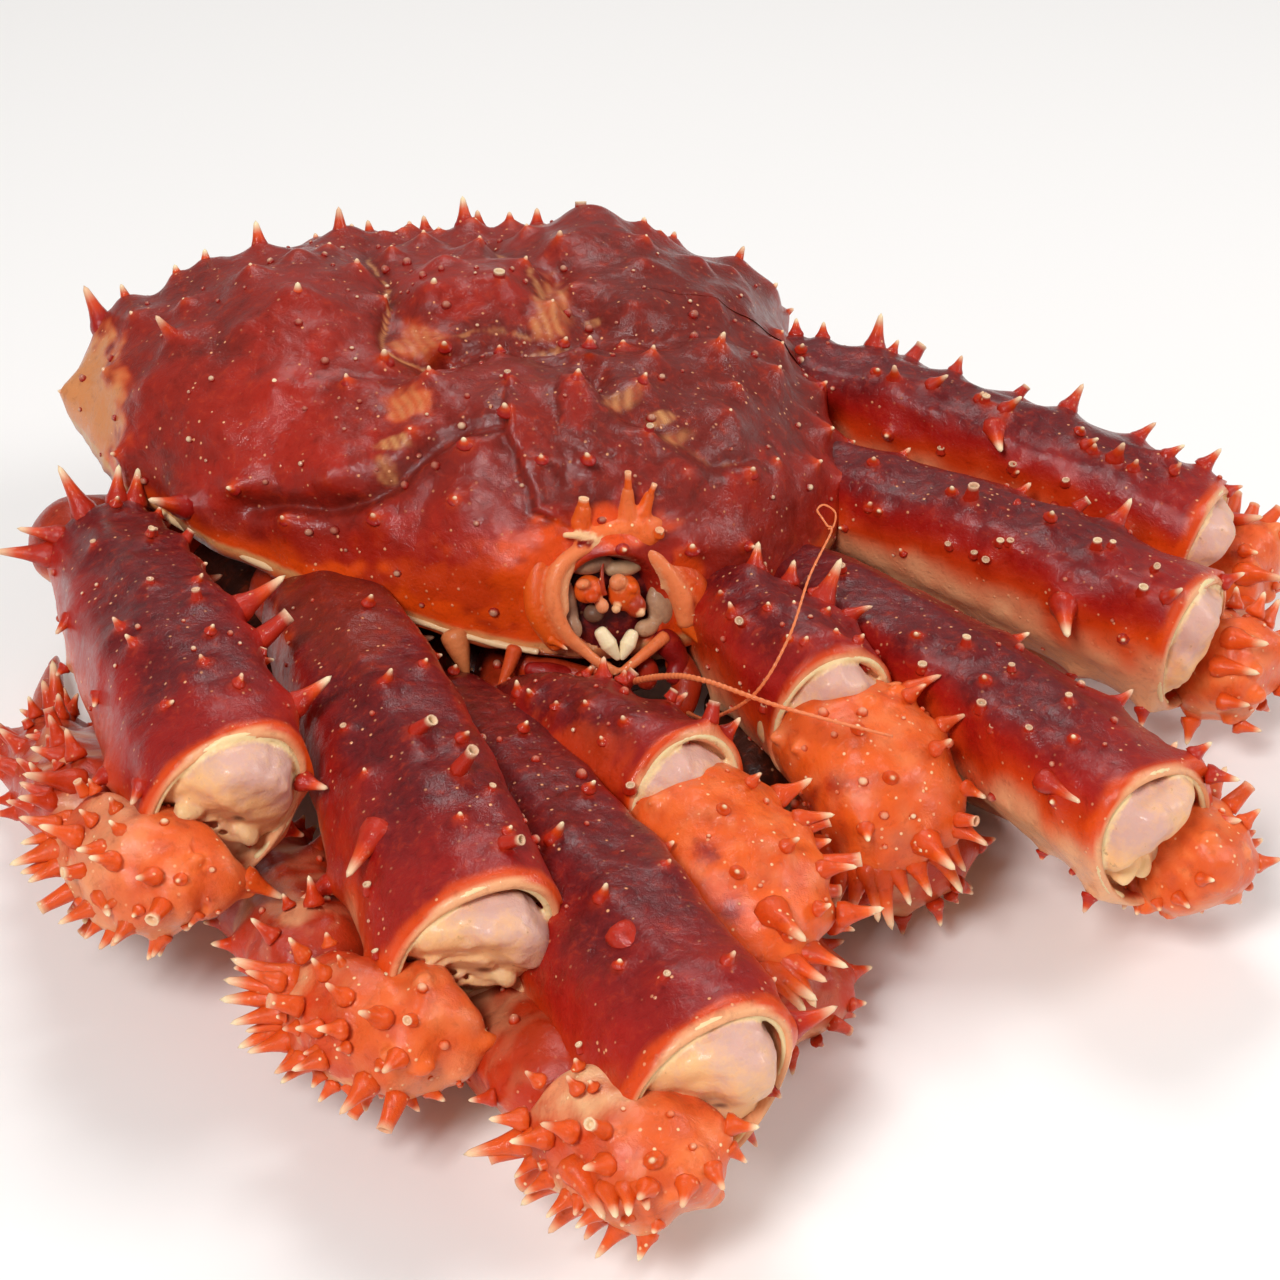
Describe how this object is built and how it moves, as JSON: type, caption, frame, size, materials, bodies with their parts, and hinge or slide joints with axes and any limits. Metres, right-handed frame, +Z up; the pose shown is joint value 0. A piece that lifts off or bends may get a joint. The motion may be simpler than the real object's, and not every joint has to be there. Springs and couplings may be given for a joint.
{
  "type": "whole cooked king crab",
  "caption": "Whole cooked red king crab lying on its belly, with a thorny shell and its walking legs and claws folded back under themselves.",
  "frame": {"origin": "middle of the crab's outline, on the surface that it rests on", "axes": "+Z up, -Y the way the crab faces, +X the crab's left side"},
  "size_m": [0.3488, 0.3506, 0.1124],
  "materials": {
    "shell": "wet glossy dark red shell",
    "leg": "wet glossy dark red shell with purple sheen",
    "joint": "wet glossy orange shell",
    "membrane": "thin pinkish beige skin, satin",
    "belly": "pale orange underside shell, satin",
    "tooth": "smooth cream tooth",
    "feeler": "thin glossy orange whip"
  },
  "bodies": {
    "root": {"carapace": "shell", "thorax": "belly", "abdomen": "belly", "right_leg_3_upper": "leg", "right_leg_2_upper": "leg", "right_leg_1_upper": "leg", "left_leg_3_upper": "leg", "left_leg_2_upper": "leg", "left_leg_1_upper": "leg", "left_claw_arm": "leg", "right_claw_arm": "leg", "right_leg_3_membrane": "membrane", "right_leg_2_membrane": "membrane", "right_leg_1_membrane": "membrane", "left_leg_3_membrane": "membrane", "left_leg_2_membrane": "membrane", "left_leg_1_membrane": "membrane", "left_claw_membrane": "membrane", "right_claw_membrane": "membrane", "right_leg_3_elbow": "joint", "right_leg_2_elbow": "joint", "right_leg_1_elbow": "joint", "left_leg_3_elbow": "joint", "left_leg_2_elbow": "joint", "left_leg_1_elbow": "joint", "left_claw_wrist": "joint", "right_claw_wrist": "joint", "left_claw_hand": "leg", "left_claw_finger": "joint", "right_claw_hand": "leg", "right_claw_finger": "joint", "right_leg_3_shin": "leg", "right_leg_3_toe": "joint", "right_leg_2_shin": "leg", "right_leg_2_toe": "joint", "right_leg_1_shin": "leg", "right_leg_1_toe": "joint", "left_leg_3_shin": "leg", "left_leg_3_toe": "joint", "left_leg_2_shin": "leg", "left_leg_2_toe": "joint", "left_leg_1_shin": "leg", "left_leg_1_toe": "joint", "right_leg_3_hip": "leg", "right_leg_2_hip": "leg", "right_leg_1_hip": "leg", "left_leg_3_hip": "leg", "left_leg_2_hip": "leg", "left_leg_1_hip": "leg", "left_claw_hip": "leg", "right_claw_hip": "leg", "mouth": "belly", "right_jaw": "joint", "right_tooth": "tooth", "left_jaw": "joint", "left_tooth": "tooth", "right_feeler_base": "leg", "left_feeler_base": "leg", "right_feeler": "feeler", "left_feeler": "feeler"}
  },
  "joints": []
}
